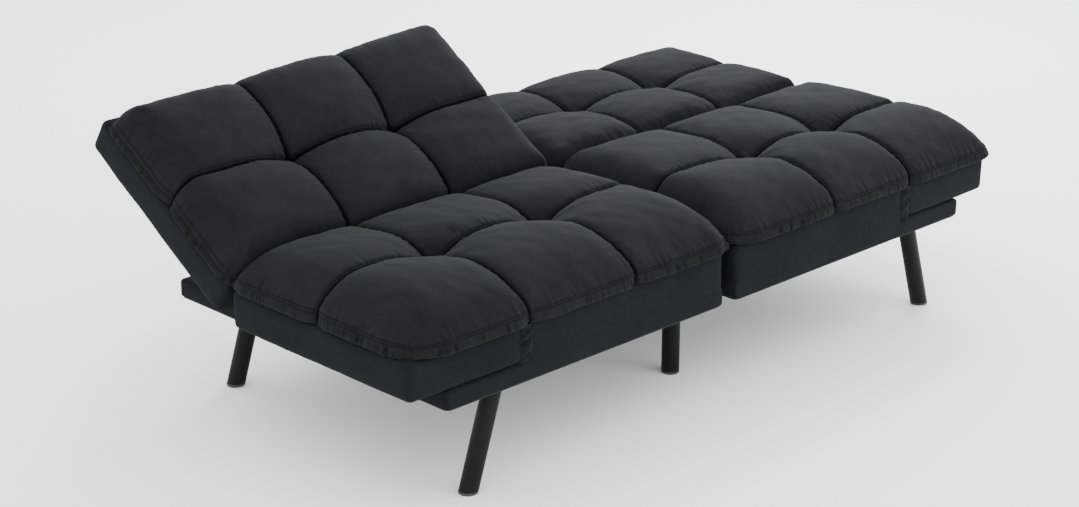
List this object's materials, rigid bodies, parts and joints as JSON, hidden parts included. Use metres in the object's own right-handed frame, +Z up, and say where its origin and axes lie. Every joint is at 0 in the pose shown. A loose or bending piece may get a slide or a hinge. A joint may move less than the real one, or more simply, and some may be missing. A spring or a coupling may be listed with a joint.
{
  "type": "futon sofa bed",
  "caption": "Split futon sofa bed with quilted suede tops, folding arms and separately reclining backs on splayed steel legs.",
  "frame": {"origin": "middle of the footprint on the floor", "axes": "+Z up, +X along the length towards the right-hand module, -Y towards the front of the seat"},
  "size_m": [1.83, 1.07, 0.6666],
  "materials": {
    "quilted_suede": "brushed faux suede over padding",
    "smooth_suede": "brushed faux suede stretched over a box",
    "lining_cloth": "dull non-woven cloth",
    "foam": "open-cell foam",
    "timber": "sawn softwood",
    "spring_wire": "oiled spring steel",
    "elastic_webbing": "woven elastic",
    "zinc_plated_steel": "zinc plated",
    "black_powder_coat": "matte powder coat",
    "glide_plastic": "moulded"
  },
  "bodies": {
    "base": {"left_seat_topper": "quilted_suede", "right_seat_topper": "quilted_suede", "left_seat_cover": "smooth_suede", "left_plinth_cover": "smooth_suede", "right_seat_cover": "smooth_suede", "right_plinth_cover": "smooth_suede", "left_dust_cover": "lining_cloth", "right_dust_cover": "lining_cloth", "left_seat_foam": "foam", "right_seat_foam": "foam", "left_base_frame": "timber", "left_seat_frame": "timber", "right_base_frame": "timber", "right_seat_frame": "timber", "left_seat_springs": "spring_wire", "right_seat_springs": "spring_wire", "hinge_pawl_springs": "spring_wire", "hinge_base_plates": "zinc_plated_steel", "hinge_base_screws": "zinc_plated_steel", "hinge_rivets": "zinc_plated_steel", "hinge_pawls": "zinc_plated_steel", "bracket_bolts": "zinc_plated_steel", "leg_studs": "zinc_plated_steel", "left_front_leg": "black_powder_coat", "left_rear_leg": "black_powder_coat", "right_front_leg": "black_powder_coat", "right_rear_leg": "black_powder_coat", "centre_front_leg": "black_powder_coat", "centre_rear_leg": "black_powder_coat", "centre_brackets": "black_powder_coat", "leg_plates": "black_powder_coat", "leg_glides": "glide_plastic"},
    "left_back": {"left_back_topper": "quilted_suede", "left_back_cover": "smooth_suede", "left_back_rear_panel": "lining_cloth", "left_back_foam": "foam", "left_back_frame": "timber", "left_back_webbing": "elastic_webbing", "left_back_hinge_plates": "zinc_plated_steel", "left_back_hinge_screws": "zinc_plated_steel"},
    "left_arm": {"left_arm_topper": "quilted_suede", "left_arm_cover": "smooth_suede", "left_arm_foam": "foam", "left_arm_frame": "timber", "left_arm_hinge_plates": "zinc_plated_steel", "left_arm_hinge_screws": "zinc_plated_steel"},
    "right_back": {"right_back_topper": "quilted_suede", "right_back_cover": "smooth_suede", "right_back_rear_panel": "lining_cloth", "right_back_foam": "foam", "right_back_frame": "timber", "right_back_webbing": "elastic_webbing", "right_back_hinge_plates": "zinc_plated_steel", "right_back_hinge_screws": "zinc_plated_steel"},
    "right_arm": {"right_arm_topper": "quilted_suede", "right_arm_cover": "smooth_suede", "right_arm_foam": "foam", "right_arm_frame": "timber", "right_arm_hinge_plates": "zinc_plated_steel", "right_arm_hinge_screws": "zinc_plated_steel"}
  },
  "joints": [
    {"name": "left_back_recline", "type": "hinge", "parent": "base", "child": "left_back", "pos_m": [-0.2885, 0.031, 0.33], "axis": [1, 0, 0], "range_deg": [-32.5, 44.5]},
    {"name": "left_arm_fold", "type": "hinge", "parent": "base", "child": "left_arm", "pos_m": [-0.604, -0.245, 0.33], "axis": [0, 1, 0], "range_deg": [0, 75]},
    {"name": "right_back_recline", "type": "hinge", "parent": "base", "child": "right_back", "pos_m": [0.2885, 0.031, 0.33], "axis": [1, 0, 0], "range_deg": [0, 77]},
    {"name": "right_arm_fold", "type": "hinge", "parent": "base", "child": "right_arm", "pos_m": [0.604, -0.245, 0.33], "axis": [0, -1, 0], "range_deg": [0, 75]}
  ]
}
